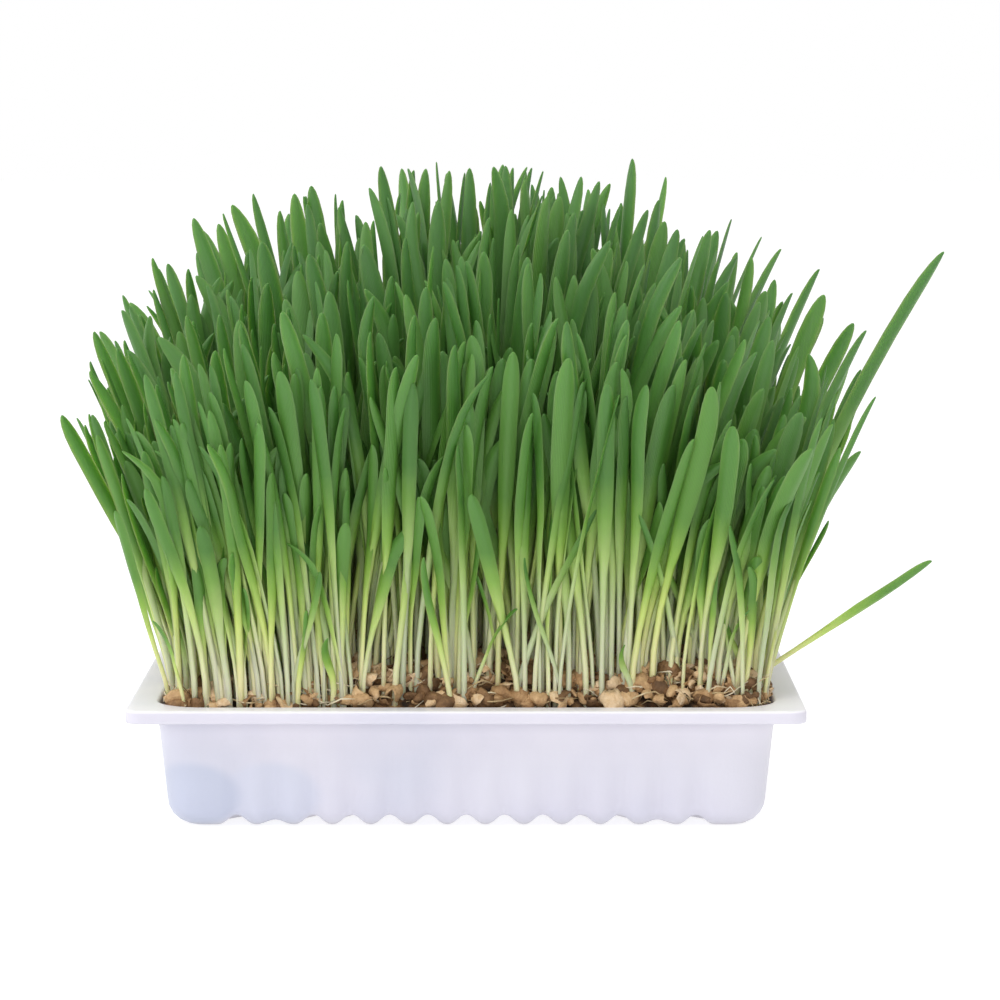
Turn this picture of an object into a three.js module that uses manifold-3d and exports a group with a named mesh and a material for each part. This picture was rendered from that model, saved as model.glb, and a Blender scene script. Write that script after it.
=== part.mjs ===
// Wheatgrass tray: a thin white thermoformed tray, filled with potting soil, in which a
// dense turf of wheatgrass stands on its own mat of sprouted seeds and roots.
// Millimetres, +Z up, +X along the tray's length and -Y towards its front. The origin is
// the centre of the tray's flat base panel, on the surface that the tray stands on.
import * as THREE from "three";
import { mergeVertices } from "three/addons/utils/BufferGeometryUtils.js";
import Module from "manifold-3d";

// Tray
const TRAY_LENGTH = 190; // over the flange, along X
const TRAY_DEPTH = 132; // over the flange, along Y
const TRAY_HEIGHT = 35;
const SHEET = 0.8; // wall of the formed sheet
const FLANGE_WIDTH = 7.5;
const FLANGE_CORNER = 5;
const LIP_HEIGHT = 3.6; // skirt round the flange's outer edge
const BEAD = 0.3; // the flange's inner edge stands this far inside the wall
const WALL_CORNER = 14; // corner radius of the body, in plan
const DRAFT = 2.8; // how much further in the wall's foot stands than its top
const BASE_RADIUS = 7.5; // between the wall and the base

// Flutes: grooves that run down each wall and turn a little way under the base
const FLUTE_PITCH = 10.8;
const FLUTES_LONG = 13;
const FLUTES_SHORT = 7;
const FLUTE_FLOOR = 0.8; // half width of a groove's floor
const FLUTE_MOUTH = 4.6; // half width of a groove's mouth
const FLUTE_DEPTH = 1.6; // into the wall
const FLUTE_RISE = 3.2; // up from the base
const SHALLOW_RISE = 1.3; // the second groove from each end of a long wall is shallower
const FLUTE_TOP = TRAY_HEIGHT - 8;
const PANEL_INSET = 12; // from the wall's foot to the flat base panel
const PANEL_CORNER = 3;

// Filling
const GAP = 0.4; // clear space between one piece and the next
const FILL_INSET = 2; // from the wall's outer face to the filling, at the rim
const SOIL_BED = 27; // top of the soil under the root mat
const HEAP = 6; // how far the seeds and husks stand above the tray's rim
const BORDER = 1.8; // strip of loose seeds and husks between the mat and the wall
const SEED_LENGTH = 6.6; // relief of seeds and husks
const SEED_RELIEF = 1.6;
const MAT_MOUND = 16; // pitch of the mat's low mounds
const MAT_RELIEF = 1.1;

// Grass
const COLUMNS = 26;
const ROWS = 13;
const TURF_INSET = 2; // from the mat's edge to the outermost blades
const BLADE_HEIGHT = 144;
const BLADE_WIDTH = 5.2;
const BLADE_KEEL = 1.0; // thickness at the midrib
const STEM_WIDTH = 2.2;
const ROOT_DEPTH = 4; // how far a blade's foot is sunk in the mat
const BEND = 1.5; // a blade leans more and more towards its tip
const TWIST = 0.6; // turn of a leaf about its midrib, from its stem to its tip
const CLUMPING = 0.05; // how far neighbours lean together, in clumps
const FOOT_LEVEL = TRAY_HEIGHT + HEAP - 1;
const SEED = 20817;

const wasm = await Module();
wasm.setup();

const halfLength = TRAY_LENGTH / 2;
const halfDepth = TRAY_DEPTH / 2;
const wallX = halfLength - FLANGE_WIDTH; // outer face of the wall under the flange
const wallY = halfDepth - FLANGE_WIDTH;
const flangeUnder = TRAY_HEIGHT - SHEET;

// Half sizes of the wall's outer face at a height above the base radius.
function wallInsetAt(z) {
  return (DRAFT * (flangeUnder - z)) / (flangeUnder - BASE_RADIUS);
}

// Stations along one straight wall: where each lies and how deep in a groove it is, from 0 to 1.
function straightStations(grooves) {
  const stations = [];
  for (let i = 0; i < grooves; i++) {
    const centre = (i - (grooves - 1) / 2) * FLUTE_PITCH;
    const shallow = grooves === FLUTES_LONG && (i === 1 || i === grooves - 2);
    for (const [offset, deep] of [
      [-FLUTE_MOUTH, 0],
      [-FLUTE_FLOOR, 1],
      [FLUTE_FLOOR, 1],
      [FLUTE_MOUTH, 0],
    ])
      stations.push({ along: centre + offset, deep, shallow });
  }
  return stations;
}

// One closed line round the tray, seen from above, anticlockwise from the front left. A
// fluted line steps in by flute and up by rise at each groove.
function outline({ x, y, corner, z, flute = 0, rise = 0, plain = false }) {
  const points = [];
  const sides = [
    [0, -1, x, y, FLUTES_LONG],
    [1, 0, y, x, FLUTES_SHORT],
    [0, 1, x, y, FLUTES_LONG],
    [-1, 0, y, x, FLUTES_SHORT],
  ];
  const cornerSteps = 4;
  for (const [nx, ny, along, out, grooves] of sides) {
    // The direction of travel is the outward direction turned a quarter anticlockwise.
    const tx = -ny;
    const ty = nx;
    if (!plain)
      for (const s of straightStations(grooves)) {
        const inward = out - flute * s.deep;
        const up = s.shallow ? Math.min(rise, SHALLOW_RISE) : rise;
        points.push(
          new THREE.Vector3(
            nx * inward + tx * s.along,
            ny * inward + ty * s.along,
            z + up * s.deep,
          ),
        );
      }
    for (let i = 0; i <= cornerSteps; i++) {
      const turn = (Math.PI / 2) * (i / cornerSteps);
      const outward = out - corner + corner * Math.cos(turn);
      const onward = along - corner + corner * Math.sin(turn);
      points.push(
        new THREE.Vector3(nx * outward + tx * onward, ny * outward + ty * onward, z),
      );
    }
  }
  return points;
}

// A solid skinned over lines of equal point count. Without closed, its first and last lines
// are flat and are filled in; with closed, the last line joins the first.
function skin(lines, closed = false) {
  const count = lines[0].length;
  const positions = lines.flat().flatMap((p) => [p.x, p.y, p.z]);
  const index = [];
  const bands = closed ? lines.length : lines.length - 1;
  for (let i = 0; i < bands; i++) {
    const low = i * count;
    const high = ((i + 1) % lines.length) * count;
    for (let j = 0; j < count; j++) {
      const k = (j + 1) % count;
      index.push(low + j, low + k, high + k, low + j, high + k, high + j);
    }
  }
  if (!closed) {
    const fill = (line, start, flip) => {
      const flat = line.map((p) => new THREE.Vector2(p.x, p.y));
      for (const [a, b, c] of THREE.ShapeUtils.triangulateShape(flat, []))
        index.push(start + a, start + (flip ? c : b), start + (flip ? b : c));
    };
    fill(lines[0], 0, true);
    fill(lines[lines.length - 1], (lines.length - 1) * count, false);
  }
  const geometry = new THREE.BufferGeometry();
  geometry.setAttribute("position", new THREE.Float32BufferAttribute(positions, 3));
  geometry.setIndex(index);
  return geometry;
}

function toSolid(geometry) {
  const bare = geometry.clone();
  bare.deleteAttribute("normal");
  bare.deleteAttribute("uv");
  const merged = mergeVertices(bare, 1e-4);
  return new wasm.Manifold(
    new wasm.Mesh({
      numProp: 3,
      vertProperties: new Float32Array(merged.attributes.position.array),
      triVerts: new Uint32Array(merged.index.array),
    }),
  );
}

function toMesh(solid, name, color, roughness) {
  const mesh = solid.getMesh();
  const geometry = new THREE.BufferGeometry();
  geometry.setAttribute("position", new THREE.BufferAttribute(mesh.vertProperties, 3));
  geometry.setIndex(new THREE.BufferAttribute(mesh.triVerts, 1));
  geometry.computeVertexNormals();
  const material = new THREE.MeshStandardMaterial({ color, roughness, metalness: 0 });
  const made = new THREE.Mesh(geometry, material);
  made.name = name;
  return made;
}

// The body's sheet, as lines from the base panel up the outside, over the top and down the
// inside, and the flange with its skirt as a closed loop of lines, joined to the body's top.
function tray() {
  const foot = { x: wallX - DRAFT, y: wallY - DRAFT };
  const round = BASE_RADIUS * (1 - Math.SQRT1_2);
  const atHeight = (z, inward) => ({
    x: wallX - wallInsetAt(z) - inward,
    y: wallY - wallInsetAt(z) - inward,
    corner: WALL_CORNER - wallInsetAt(z) - inward,
    z,
  });
  const onBase = (inset, z) => ({
    x: foot.x - inset,
    y: foot.y - inset,
    corner: inset === PANEL_INSET ? PANEL_CORNER : WALL_CORNER - DRAFT - inset,
    z,
  });
  const outside = [
    onBase(PANEL_INSET, 0),
    { ...onBase(BASE_RADIUS, 0), rise: FLUTE_RISE },
    { ...onBase(round, round), flute: FLUTE_DEPTH * 0.8, rise: FLUTE_RISE * 0.5 },
    { ...atHeight(BASE_RADIUS, 0), flute: FLUTE_DEPTH },
    atHeight(FLUTE_TOP, 0),
    atHeight(flangeUnder + SHEET / 2, 0),
  ];
  const inside = [
    atHeight(flangeUnder + SHEET / 2, SHEET),
    atHeight(FLUTE_TOP, SHEET),
    { ...atHeight(BASE_RADIUS, SHEET), flute: FLUTE_DEPTH },
    { ...onBase(BASE_RADIUS, SHEET), rise: FLUTE_RISE },
    onBase(PANEL_INSET, SHEET),
  ];
  const body = toSolid(skin([...outside, ...inside].map(outline)));

  const rim = { x: halfLength, y: halfDepth, corner: FLANGE_CORNER };
  const hem = {
    x: halfLength - SHEET,
    y: halfDepth - SHEET,
    corner: FLANGE_CORNER - SHEET,
  };
  const collar = atHeight(flangeUnder, SHEET + BEAD);
  const loop = [
    { ...collar, z: flangeUnder },
    { ...hem, z: flangeUnder },
    { ...hem, z: TRAY_HEIGHT - LIP_HEIGHT },
    { ...rim, z: TRAY_HEIGHT - LIP_HEIGHT },
    { ...rim, z: TRAY_HEIGHT },
    { ...collar, z: TRAY_HEIGHT },
  ];
  const flange = toSolid(
    skin(
      loop.map((line) => outline({ ...line, plain: true })),
      true,
    ),
  );
  return body.add(flange);
}

// Soil: it lies clear of the tray's sheet, also of the grooves that stand up inside it. Its
// border, roughened by the seeds and husks that lie on it, stands up round the root mat.
const matX = wallX - FILL_INSET - BORDER;
const matY = wallY - FILL_INSET - BORDER;
const matCorner = WALL_CORNER - FILL_INSET - BORDER;
function soil() {
  const clear = SHEET + GAP;
  const line = (inset, z) => ({
    x: wallX - inset,
    y: wallY - inset,
    corner: Math.max(PANEL_CORNER, WALL_CORNER - inset),
    z,
    plain: true,
  });
  const below = [
    line(DRAFT + PANEL_INSET + 1, clear),
    line(DRAFT + BASE_RADIUS + FLUTE_DEPTH, clear + FLUTE_RISE),
    line(DRAFT + FLUTE_DEPTH + clear, BASE_RADIUS + clear),
    line(wallInsetAt(SOIL_BED) + clear + BEAD, SOIL_BED),
    line(FILL_INSET + GAP, SOIL_BED + 1),
  ].map(outline);
  const block = toSolid(skin(below));

  // The border is a ring of lines that rise and fall with each seed.
  const steps = 2 * Math.round((4 * (matX + matY)) / SEED_LENGTH);
  const ring = (inset, z, relief) => {
    const path = outline({
      x: matX - inset,
      y: matY - inset,
      corner: matCorner - inset,
      z: 0,
      plain: true,
    });
    const round = new THREE.Shape(path.map((p) => new THREE.Vector2(p.x, p.y)));
    round.closePath();
    return round
      .getSpacedPoints(steps)
      .slice(0, steps)
      .map((p, i) => new THREE.Vector3(p.x, p.y, z + relief * (i % 2 ? -0.4 : 1)));
  };
  const border = toSolid(
    skin(
      [
        ring(-BORDER, SOIL_BED + GAP, 0),
        ring(-BORDER, TRAY_HEIGHT - 1.5, 0),
        ring(-BORDER * 0.45, TRAY_HEIGHT + HEAP * 0.6, SEED_RELIEF),
        ring(-GAP, TRAY_HEIGHT + HEAP * 0.6, 0),
        ring(-GAP, SOIL_BED + GAP, 0),
      ],
      true,
    ),
  );
  return block.add(border);
}

// Root mat: the blades' own roots and spent seeds, grown into one slab with low mounds.
function mat() {
  const line = (inset, z) => ({
    x: matX - inset,
    y: matY - inset,
    corner: matCorner - inset,
    z,
    plain: true,
  });
  const top = TRAY_HEIGHT + HEAP;
  const block = toSolid(skin([line(0, SOIL_BED + 1 + GAP), line(0, top + 4)].map(outline)));
  // The top is a plane lifted by formula, closed above by a lid and taken off the block.
  const across = Math.round((4 * matX) / MAT_MOUND);
  const deep = Math.round((4 * matY) / MAT_MOUND);
  const lid = new THREE.BoxGeometry(2 * matX + 6, 2 * matY + 6, 20, across, deep, 1);
  lid.translate(0, 0, top + 10);
  const place = lid.attributes.position;
  const wave = (2 * Math.PI) / MAT_MOUND;
  for (let i = 0; i < place.count; i++) {
    const x = place.getX(i);
    const y = place.getY(i);
    const mound = Math.sin(wave * x + 0.8) * Math.sin(wave * y + 0.8);
    if (place.getZ(i) < top + 10) place.setZ(i, top - 0.5 + MAT_RELIEF * mound);
  }
  return block.subtract(toSolid(lid));
}

// Random numbers from 0 to 1, the same on every run.
function draws(seed) {
  let state = seed;
  return () => {
    state = (state * 48271) % 2147483647;
    return state / 2147483647;
  };
}

// Width and thickness of a blade at a share of its height: a slim pale stem that widens into
// the leaf and closes to a blunt tip.
const LEVELS = [0, 0.45, 0.72, 0.94, 1];
const SPREAD = [0, 0, 1, 0.66]; // from the stem's width to the leaf's
const atLevels = (values, t) => {
  const i = Math.max(0, LEVELS.findIndex((level) => level > t) - 1);
  const share = (t - LEVELS[i]) / (LEVELS[i + 1] - LEVELS[i]);
  return values[i] + (values[i + 1] - values[i]) * share;
};
function shape(blade) {
  blade.widths = [...SPREAD.map((s) => STEM_WIDTH + (blade.width - STEM_WIDTH) * s), 0];
  blade.reaches = LEVELS.map((t) => blade.height * t ** blade.bend);
  return blade;
}

function centreAt(blade, t) {
  const reach = atLevels(blade.reaches, t);
  return new THREE.Vector3(
    blade.x + blade.leanX * reach,
    blade.y + blade.leanY * reach,
    blade.z + blade.height * t,
  );
}

function turnAt(blade, t) {
  return blade.turn + TWIST * Math.max(0, t - LEVELS[1]);
}

// Whether two upright blades stay clear of each other, seen as flat rectangles level by level.
function clearOf(a, b) {
  if (Math.hypot(a.x - b.x, a.y - b.y) > 90) return true;
  for (let z = a.z; z < a.z + Math.min(a.height, b.height); z += 4) {
    const ta = (z - a.z) / a.height;
    const tb = Math.max(0, z - b.z) / b.height;
    const [ra, rb] = [atLevels(a.reaches, ta), atLevels(b.reaches, tb)];
    const dx = a.x + a.leanX * ra - b.x - b.leanX * rb;
    const dy = a.y + a.leanY * ra - b.y - b.leanY * rb;
    const wa = atLevels(a.widths, ta) / 2;
    const wb = atLevels(b.widths, tb) / 2;
    if (Math.hypot(dx, dy) > wa + wb + BLADE_KEEL) continue;
    const [turnA, turnB] = [turnAt(a, ta), turnAt(b, tb)];
    const aside = Math.abs(dx * Math.sin(turnA) - dy * Math.cos(turnA));
    const bside = Math.abs(dx * Math.sin(turnB) - dy * Math.cos(turnB));
    const skew = Math.abs(Math.sin(turnA - turnB));
    if (aside < wb * skew + BLADE_KEEL && bside < wa * skew + BLADE_KEEL) return false;
  }
  return true;
}

// Blades stand on a jittered grid. They are tallest in the middle and at the back, and fan
// outwards towards every edge of the tray.
const LOOSE_BLADES = [
  // A few long ones fall out at the two ends: foot x, y, tip x, y, height, width, bend.
  [-82, -30, -116, -34, 75, 4.6, 1.35],
  [-82, -12, -107, -6, 63, 4.2, 1.35],
  [82, -24, 134, -30, 121, 4.8, 1.35],
  [81, -38, 132, -50, 35, 4.6, 1],
  [82, -12, 112, -16, 63, 4.2, 1.35],
  [81, 4, 114, 8, 75, 3.6, 1.35],
];
function turf() {
  const draw = draws(SEED);
  const spanX = matX - TURF_INSET;
  const spanY = matY - TURF_INSET;
  const blades = LOOSE_BLADES.map(([x, y, tipX, tipY, height, width, bend]) =>
    shape({
      x,
      y,
      z: FOOT_LEVEL,
      height,
      width,
      bend,
      leanX: (tipX - x) / height,
      leanY: (tipY - y) / height,
      turn: 0.25,
    }),
  );
  for (let row = 0; row < ROWS; row++)
    for (let column = 0; column < COLUMNS; column++) {
      const stagger = row % 2 ? 0.25 : -0.25;
      const across = (2 * (column + 0.5 + stagger)) / COLUMNS - 1 + (draw() - 0.5) * 0.04;
      const rowBack = (2 * row) / (ROWS - 1) - 1 + (draw() - 0.5) * 0.07;
      const back = THREE.MathUtils.clamp(rowBack, -1, 1);
      const side = Math.abs(across);
      const front = (1 - back) / 2;
      const tall =
        (1 - 0.3 * side ** 2) * (1 - 0.32 * front ** 2.2) * (1 - 0.28 * draw() ** 2);
      const blade = shape({
        x: across * spanX,
        y: back * spanY,
        z: FOOT_LEVEL,
        bend: BEND,
        height: BLADE_HEIGHT * tall,
        width: BLADE_WIDTH * (0.8 + 0.4 * draw()),
      });
      const inCorner =
        Math.max(0, side * spanX - spanX + 9) ** 2 +
          Math.max(0, Math.abs(back) * spanY - spanY + 9) ** 2 >
        9 ** 2;
      const clump = CLUMPING * Math.sin(7 * across + 3 * back);
      const fan = 0.13 * across + 0.12 * across ** 3 + clump;
      for (let attempt = 0; attempt < 12 && !inCorner; attempt++) {
        const calm = 1 - attempt / 16;
        blade.leanX = fan + (draw() - 0.5) * 0.22 * calm;
        blade.leanY = 0.13 * back + (draw() - 0.5) * 0.16 * calm;
        blade.turn = (draw() - 0.5) * 2.4;
        if (blades.every((other) => clearOf(other, blade))) {
          blades.push(blade);
          break;
        }
      }
    }
  return blades;
}

// One blade: three-sided sections with a keel behind, from a root in the mat to a point.
function bladeSolid(blade) {
  const rings = LEVELS.slice(0, -1).map((t, i) => {
    const centre = centreAt(blade, t);
    const along = centreAt(blade, t + 0.02)
      .sub(centreAt(blade, Math.max(0, t - 0.02)))
      .normalize();
    const turn = turnAt(blade, t);
    const wide = new THREE.Vector3(Math.cos(turn), Math.sin(turn), 0);
    wide.addScaledVector(along, -wide.dot(along)).normalize();
    const keel = new THREE.Vector3().crossVectors(along, wide);
    const half = blade.widths[i] / 2;
    if (i === 0) centre.addScaledVector(along, -ROOT_DEPTH);
    return [
      centre.clone().addScaledVector(wide, half).addScaledVector(keel, -BLADE_KEEL / 3),
      centre.clone().addScaledVector(keel, (BLADE_KEEL * 2) / 3),
      centre.clone().addScaledVector(wide, -half).addScaledVector(keel, -BLADE_KEEL / 3),
    ];
  });
  const reach = blade.reaches[LEVELS.length - 1];
  const tip = new THREE.Vector3(
    blade.x + blade.leanX * reach,
    blade.y + blade.leanY * reach,
    blade.z + blade.height,
  );
  const positions = [...rings.flat(), tip].flatMap((p) => [p.x, p.y, p.z]);
  const index = [0, 2, 1];
  for (let i = 0; i < rings.length - 1; i++)
    for (let j = 0; j < 3; j++) {
      const k = (j + 1) % 3;
      const low = 3 * i;
      const high = low + 3;
      index.push(low + j, low + k, high + k, low + j, high + k, high + j);
    }
  const last = 3 * (rings.length - 1);
  for (let j = 0; j < 3; j++) index.push(last + j, last + ((j + 1) % 3), 3 * rings.length);
  const geometry = new THREE.BufferGeometry();
  geometry.setAttribute("position", new THREE.Float32BufferAttribute(positions, 3));
  geometry.setIndex(index);
  return toSolid(geometry);
}

const blades = turf();
const grass = wasm.Manifold.union([mat(), ...blades.map(bladeSolid)]);

const part = new THREE.Group();
part.add(toMesh(tray(), "tray", 0xe6e4f0, 0.35));
part.add(toMesh(soil(), "soil", 0x4a3826, 0.95));
part.add(toMesh(grass, "wheatgrass", 0x4f8f3c, 0.6));

export default part;
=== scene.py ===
import math

import bmesh
import bpy
from mathutils import Euler, Matrix, Vector, noise


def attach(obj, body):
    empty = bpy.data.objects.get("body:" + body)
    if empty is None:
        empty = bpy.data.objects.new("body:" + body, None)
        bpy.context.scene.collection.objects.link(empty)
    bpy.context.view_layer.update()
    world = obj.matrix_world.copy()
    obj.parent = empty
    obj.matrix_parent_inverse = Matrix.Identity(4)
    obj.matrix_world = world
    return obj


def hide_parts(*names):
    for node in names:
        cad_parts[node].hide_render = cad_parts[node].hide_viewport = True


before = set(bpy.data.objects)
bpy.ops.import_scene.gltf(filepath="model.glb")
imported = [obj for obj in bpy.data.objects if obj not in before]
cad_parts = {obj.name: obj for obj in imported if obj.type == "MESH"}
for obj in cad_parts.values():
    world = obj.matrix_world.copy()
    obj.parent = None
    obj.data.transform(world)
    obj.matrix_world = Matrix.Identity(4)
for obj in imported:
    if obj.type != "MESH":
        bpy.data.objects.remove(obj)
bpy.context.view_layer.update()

MM = 0.001


# --- Viewpoint ------------------------------------------------------------------------
# The photograph was taken from the front, a little above the tray, with a long lens. The
# tray stands slightly left of the picture's middle.
LENS = 146.6
SENSOR = 36
CAMERA_PLACE = (0.0095, -1.1835, 0.2151)
LOOKS_DOWN = math.radians(6.18)

camera_data = bpy.data.cameras.new("camera")
camera_data.lens = LENS
camera_data.sensor_width = SENSOR
camera_data.clip_end = 20
camera = bpy.data.objects.new("camera", camera_data)
camera.location = CAMERA_PLACE
camera.rotation_euler = (math.pi / 2 - LOOKS_DOWN, 0, 0)
bpy.context.collection.objects.link(camera)
bpy.context.scene.camera = camera


# --- Tray -----------------------------------------------------------------------------
# One sheet of white plastic, 0.8 mm thick, drawn over a mould with a vacuum: a flat flange
# with a turned-down lip, and slightly drafted walls with flutes that stiffen them and turn
# a little way under the base.
TRAY_LENGTH = 190 * MM
TRAY_DEPTH = 132 * MM
TRAY_HEIGHT = 35 * MM
SHEET = 0.8 * MM
FLANGE_WIDTH = 7.5 * MM
FLANGE_CORNER = 5 * MM
FLANGE_DISH = 2.6 * MM
DISH_DEPTH = 0.05 * MM
BRIM_DRAFT = 0.05 * MM
LIP_HEIGHT = 3.6 * MM
LIP_EDGE = 0.7 * MM
LIP_DRAFT = 0.15 * MM
BRIM = 1.1 * MM
WALL_CORNER = 14 * MM
DRAFT = 2.8 * MM
BASE_RADIUS = 7.5 * MM
FLUTE_RUN = 24 * MM
PANEL_CORNER = 1.5 * MM
FLUTE_PITCH = 10.8 * MM
FLUTES_LONG = 13
FLUTES_SHORT = 7
FLUTE_HALF = 5.3 * MM
FLUTE_DEPTH = 1.6 * MM
FLUTE_RISE = 4.0 * MM
SHALLOW_RISE = 1.3 * MM
FLUTE_TOP = TRAY_HEIGHT - 8 * MM
STATIONS_PER_FLUTE = 12
CORNER_STATIONS = 12
WALL_X = TRAY_LENGTH / 2 - FLANGE_WIDTH
WALL_Y = TRAY_DEPTH / 2 - FLANGE_WIDTH


def tray_stations():
    """Where each station round the tray lies: side, distance along it, corner angle, how deep
    in a flute it is, and whether that flute is a shallow one."""
    stations = []
    for side in range(4):
        flutes = (FLUTES_LONG, FLUTES_SHORT)[side % 2]
        reach = flutes * FLUTE_PITCH / 2
        steps = flutes * STATIONS_PER_FLUTE
        for i in range(steps + 1):
            along = -reach + 2 * reach * i / steps
            number = min(flutes - 1, int((along + reach) / FLUTE_PITCH))
            off = along - (number - (flutes - 1) / 2) * FLUTE_PITCH
            deep = 0.5 + 0.5 * math.cos(math.pi * min(1, abs(off) / FLUTE_HALF))
            shallow = flutes == FLUTES_LONG and number in (1, flutes - 2)
            stations.append((side, along, None, deep, shallow))
        for i in range(CORNER_STATIONS + 1):
            stations.append((side, None, math.pi / 2 * i / CORNER_STATIONS, 0, False))
    return stations


def tray_point(station, half_x, half_y, corner, z, flute, rise):
    """Where the sheet runs at one station of one level."""
    side, along, turn, deep, shallow = station
    out, reach = (half_x, half_y) if side % 2 else (half_y, half_x)
    fluted = (FLUTES_LONG, FLUTES_SHORT)[side % 2] * FLUTE_PITCH / 2
    if along is None:
        outward = out - corner + corner * math.cos(turn)
        along = reach - corner + corner * math.sin(turn)
    else:
        # Under the base the flutes draw together towards the flat panel.
        along *= min(1, (reach - corner) / fluted)
        outward = out - flute * deep
        z += min(rise, SHALLOW_RISE if shallow else rise) * deep
    normal = Vector(((0, -1), (1, 0), (0, 1), (-1, 0))[side])
    onward = Vector((-normal.y, normal.x))
    place = normal * outward + onward * along
    return Vector((place.x, place.y, z))


def tray_levels():
    """The sheet's upper side, from the lip's foot over the flange and down to the base."""
    levels = []

    def flange(inset, z):
        levels.append((TRAY_LENGTH / 2 - inset, TRAY_DEPTH / 2 - inset,
                       max(FLANGE_CORNER - inset, 1 * MM), z, 0, 0))

    def wall(inset, z, flute=0, rise=0):
        inset += SHEET
        levels.append((WALL_X - inset, WALL_Y - inset, max(WALL_CORNER - inset, PANEL_CORNER),
                       z, flute, rise))

    flange(LIP_DRAFT, TRAY_HEIGHT - LIP_HEIGHT)
    flange(0, TRAY_HEIGHT - LIP_HEIGHT + 0.5 * MM)
    flange(0, TRAY_HEIGHT - LIP_EDGE)
    for i in range(1, 5):
        turn = math.pi / 2 * i / 4
        flange(LIP_EDGE * (1 - math.cos(turn)), TRAY_HEIGHT - LIP_EDGE * (1 - math.sin(turn)))
    flange(FLANGE_DISH, TRAY_HEIGHT - DISH_DEPTH)
    for i in range(5):
        turn = math.pi / 2 * i / 4
        wall(BRIM * (math.sin(turn) - 1), TRAY_HEIGHT - BRIM * (1 - math.cos(turn)))
    top = TRAY_HEIGHT - BRIM
    wall(BRIM_DRAFT, FLUTE_TOP + 4 * MM)
    for i in range(8):
        share = i / 7
        z = FLUTE_TOP + (BASE_RADIUS - FLUTE_TOP) * share
        wall(DRAFT * (top - z) / (top - BASE_RADIUS), z, FLUTE_DEPTH * share ** 0.8)
    inner = BASE_RADIUS - SHEET
    for i in range(1, 6):
        turn = math.pi / 2 * i / 5
        share = i / 5
        wall(DRAFT + inner * (1 - math.cos(turn)), SHEET + inner * (1 - math.sin(turn)),
             FLUTE_DEPTH * (1 - share ** 2), FLUTE_RISE * share ** 1.4)
    for i in range(1, 6):
        wall(DRAFT + BASE_RADIUS + FLUTE_RUN * i / 5, SHEET, 0, FLUTE_RISE * (1 - i / 5))
    return levels


def shell_mesh(name, stations, levels, place):
    """A wall laid over every station and level, with its foot closed by a panel."""
    bm = bmesh.new()
    across, down = len(stations), len(levels)
    bmesh.ops.create_grid(bm, x_segments=across, y_segments=down - 1, size=1)
    for v in bm.verts:
        i = round((v.co.x + 1) / 2 * across) % across
        j = round((1 - v.co.y) / 2 * (down - 1))
        v.co = place(stations[i], *levels[j])
    bmesh.ops.remove_doubles(bm, verts=bm.verts[:], dist=1e-6)
    foot = [e for e in bm.edges if e.is_boundary
            and all(abs(v.co.z - levels[-1][3]) < 1e-5 for v in e.verts)]
    bmesh.ops.contextual_create(bm, geom=foot)
    bmesh.ops.recalc_face_normals(bm, faces=bm.faces[:])
    mesh = bpy.data.meshes.new(name)
    bm.to_mesh(mesh)
    bm.free()
    return mesh


def piece(name, mesh, material, slot, *nodes):
    """A finished piece: smooth, riding on the tray's body, standing for its CAD nodes."""
    made = bpy.data.objects.new(name, mesh)
    bpy.context.collection.objects.link(made)
    mesh.materials.append(material)
    mesh.polygons.foreach_set("use_smooth", [True] * len(mesh.polygons))
    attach(made, "root")
    if nodes:
        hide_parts(*nodes)
    return made


def material(name):
    """A new material, its node tree and its Principled shader."""
    made = bpy.data.materials.new(name)
    made.use_nodes = True
    tree = made.node_tree
    return made, tree, tree.nodes["Principled BSDF"]


def node(tree, kind, values=None, **settings):
    """A new node with its settings and the values of its sockets."""
    made = tree.nodes.new(kind)
    for key, value in settings.items():
        setattr(made, key, value)
    for key, value in (values or {}).items():
        made.inputs[key].default_value = value
    return made


def ramp(tree, source, stops):
    """The colour that a value gets from a ramp of stops."""
    made = node(tree, "ShaderNodeValToRGB")
    elements = made.color_ramp.elements
    elements[0].position, elements[1].position = stops[0][0], stops[-1][0]
    for position, _ in stops[1:-1]:
        elements.new(position)
    for element, (_, colour) in zip(elements, stops):
        element.color = (*colour, 1)
    tree.links.new(source, made.inputs[0])
    return made.outputs["Color"]


def linear(red, green, blue):
    """A colour as seen on a screen, 0 to 255, in the light values that a shader wants."""
    return tuple(((c / 255 + 0.055) / 1.055) ** 2.4 if c > 10 else c / 255 / 12.92
                 for c in (red, green, blue))


def mottle_group():
    """Cloudy variation at two sizes, from 0 to 1, and a fine grain for bump."""
    tree = bpy.data.node_groups.new("mottle", "ShaderNodeTree")
    for name, start in (("Cloud Scale", 20.0), ("Grain Scale", 900.0)):
        socket = tree.interface.new_socket(name, in_out="INPUT", socket_type="NodeSocketFloat")
        socket.default_value = start
    for name in ("Cloud", "Grain"):
        tree.interface.new_socket(name, in_out="OUTPUT", socket_type="NodeSocketFloat")
    inside = node(tree, "NodeGroupInput")
    outside = node(tree, "NodeGroupOutput")
    place = node(tree, "ShaderNodeTexCoord")
    cloud = node(tree, "ShaderNodeTexNoise", {"Detail": 3.0, "Roughness": 0.55})
    grain = node(tree, "ShaderNodeTexNoise", {"Detail": 2.0, "Roughness": 0.6})
    for noise_node, scale, out in ((cloud, "Cloud Scale", "Cloud"),
                                   (grain, "Grain Scale", "Grain")):
        tree.links.new(place.outputs["Object"], noise_node.inputs["Vector"])
        tree.links.new(inside.outputs[scale], noise_node.inputs["Scale"])
        tree.links.new(noise_node.outputs["Fac"], outside.inputs[out])
    return tree


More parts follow.
